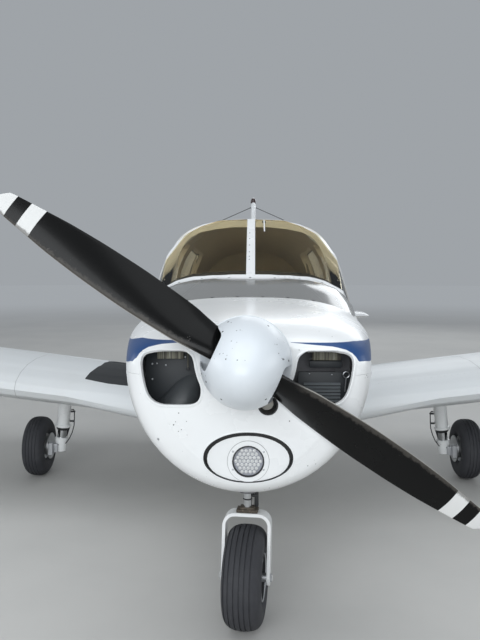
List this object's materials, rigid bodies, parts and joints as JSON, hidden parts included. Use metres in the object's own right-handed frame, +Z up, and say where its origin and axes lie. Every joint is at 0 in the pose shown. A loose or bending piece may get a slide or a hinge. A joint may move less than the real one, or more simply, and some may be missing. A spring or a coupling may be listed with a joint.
{
  "type": "light aircraft",
  "caption": "Low-wing light aircraft with a two-blade propeller, fixed nose-wheel gear, hollow glazed cabin and moving control surfaces.",
  "frame": {"origin": "on the floor under the middle of the aircraft's box", "axes": "+X to port, -Y forward along the nose, +Z up"},
  "size_m": [9.1434, 7.0998, 2.3753],
  "materials": {
    "white_paint": "gloss",
    "gear_paint": "gloss",
    "glazing": "gloss",
    "blade_paint": "gloss",
    "engine_metal": "matte",
    "bare_steel": "satin",
    "wheel_metal": "satin",
    "chrome": "polished",
    "tyre_rubber": "matte",
    "dark_plastic": "matte",
    "seat_trim": "matte",
    "cabin_trim": "matte",
    "red_lens": "gloss",
    "lamp_glass": "gloss"
  },
  "bodies": {
    "airframe": {"forward_fuselage": "white_paint", "window_front_left": "glazing", "window_rear_left": "glazing", "window_rear_right": "glazing", "windshield_left": "glazing", "windshield_right": "glazing", "windshield_strip": "white_paint", "cowl_upper": "white_paint", "cowl_lower": "white_paint", "lamp_plate": "white_paint", "landing_lamp": "lamp_glass", "engine": "engine_metal", "firewall": "bare_steel", "exhaust_pipe": "bare_steel", "wing_left": "white_paint", "wing_right": "white_paint", "tail_cone": "white_paint", "fin": "white_paint", "beacon": "red_lens", "nav_antenna": "dark_plastic", "main_leg_left": "gear_paint", "main_leg_right": "gear_paint", "main_piston_left": "chrome", "main_piston_right": "chrome", "torque_links_left": "gear_paint", "torque_links_right": "gear_paint", "brake_left": "bare_steel", "brake_right": "bare_steel", "nose_strut": "gear_paint", "cabin_floor": "cabin_trim", "rear_bulkhead": "cabin_trim", "instrument_panel": "dark_plastic", "seat_front_left": "seat_trim", "seat_front_right": "seat_trim", "seat_rear": "seat_trim", "boarding_step": "dark_plastic", "pitot_mast": "gear_paint"},
    "cabin_door": {"cabin_door": "white_paint", "door_window": "glazing"},
    "propeller": {"propeller": "blade_paint", "spinner": "white_paint"},
    "nose_fork": {"nose_fork": "gear_paint"},
    "nose_wheel": {"nose_rim": "wheel_metal", "nose_tyre": "tyre_rubber"},
    "main_wheel_left": {"main_rim_left": "wheel_metal", "main_tyre_left": "tyre_rubber"},
    "main_wheel_right": {"main_rim_right": "wheel_metal", "main_tyre_right": "tyre_rubber"},
    "aileron_left": {"aileron_left": "white_paint"},
    "aileron_right": {"aileron_right": "white_paint"},
    "flap_left": {"flap_left": "white_paint"},
    "flap_right": {"flap_right": "white_paint"},
    "rudder": {"rudder": "white_paint"},
    "stabilator": {"stabilator": "white_paint"},
    "anti_servo_tabs": {"anti_servo_tab_left": "white_paint", "anti_servo_tab_right": "white_paint"}
  },
  "joints": [
    {"name": "propeller_spin", "type": "hinge", "parent": "airframe", "child": "propeller", "pos_m": [-0.007, -3.3182, 1.172], "axis": [-0.0138, -0.9991, -0.0394], "continuous": true},
    {"name": "nose_steer", "type": "hinge", "parent": "airframe", "child": "nose_fork", "pos_m": [-0.005, -2.716, 0.5], "axis": [0, 0, 1], "range_deg": [-23, 37]},
    {"name": "nose_wheel_spin", "type": "hinge", "parent": "nose_fork", "child": "nose_wheel", "pos_m": [-0.01085, -2.76364, 0.208], "axis": [0.9925, -0.1219, 0], "continuous": true},
    {"name": "main_wheel_left_spin", "type": "hinge", "parent": "airframe", "child": "main_wheel_left", "pos_m": [1.525, -0.764, 0.208], "axis": [1, 0, 0], "continuous": true},
    {"name": "main_wheel_right_spin", "type": "hinge", "parent": "airframe", "child": "main_wheel_right", "pos_m": [-1.525, -0.764, 0.208], "axis": [1, 0, 0], "continuous": true},
    {"name": "aileron_left_swing", "type": "hinge", "parent": "airframe", "child": "aileron_left", "pos_m": [3.19371, -0.2592, 0.94979], "axis": [0.9925, 0, 0.1219], "range_deg": [-15, 30]},
    {"name": "aileron_right_swing", "type": "hinge", "parent": "airframe", "child": "aileron_right", "pos_m": [-3.19371, -0.2592, 0.94979], "axis": [0.9925, 0, -0.1219], "range_deg": [-15, 30]},
    {"name": "flap_left_swing", "type": "hinge", "parent": "airframe", "child": "flap_left", "pos_m": [1.45675, -0.2592, 0.73651], "axis": [0.9925, 0, 0.1219], "range_deg": [-40, 0]},
    {"name": "flap_right_swing", "type": "hinge", "parent": "airframe", "child": "flap_right", "pos_m": [-1.45675, -0.2592, 0.73651], "axis": [0.9925, 0, -0.1219], "range_deg": [-40, 0]},
    {"name": "rudder_swing", "type": "hinge", "parent": "airframe", "child": "rudder", "pos_m": [0, 3.108, 1.6], "axis": [0, 0, 1], "range_deg": [-27, 27]},
    {"name": "stabilator_swing", "type": "hinge", "parent": "airframe", "child": "stabilator", "pos_m": [0, 2.69, 0.925], "axis": [1, 0, 0], "range_deg": [-2, 18]},
    {"name": "anti_servo_tab_swing", "type": "hinge", "parent": "stabilator", "child": "anti_servo_tabs", "pos_m": [0, 3.132, 0.925], "axis": [1, 0, 0], "range_deg": [-2, 12]},
    {"name": "cabin_door_swing", "type": "hinge", "parent": "airframe", "child": "cabin_door", "pos_m": [-0.578, -1.585, 1.3], "axis": [0, 0, 1], "range_deg": [0, 75]}
  ],
  "couplings": [
    {"joint": "flap_right_swing", "follows": "flap_left_swing", "ratio": 1},
    {"joint": "anti_servo_tab_swing", "follows": "stabilator_swing", "ratio": 0.6}
  ]
}
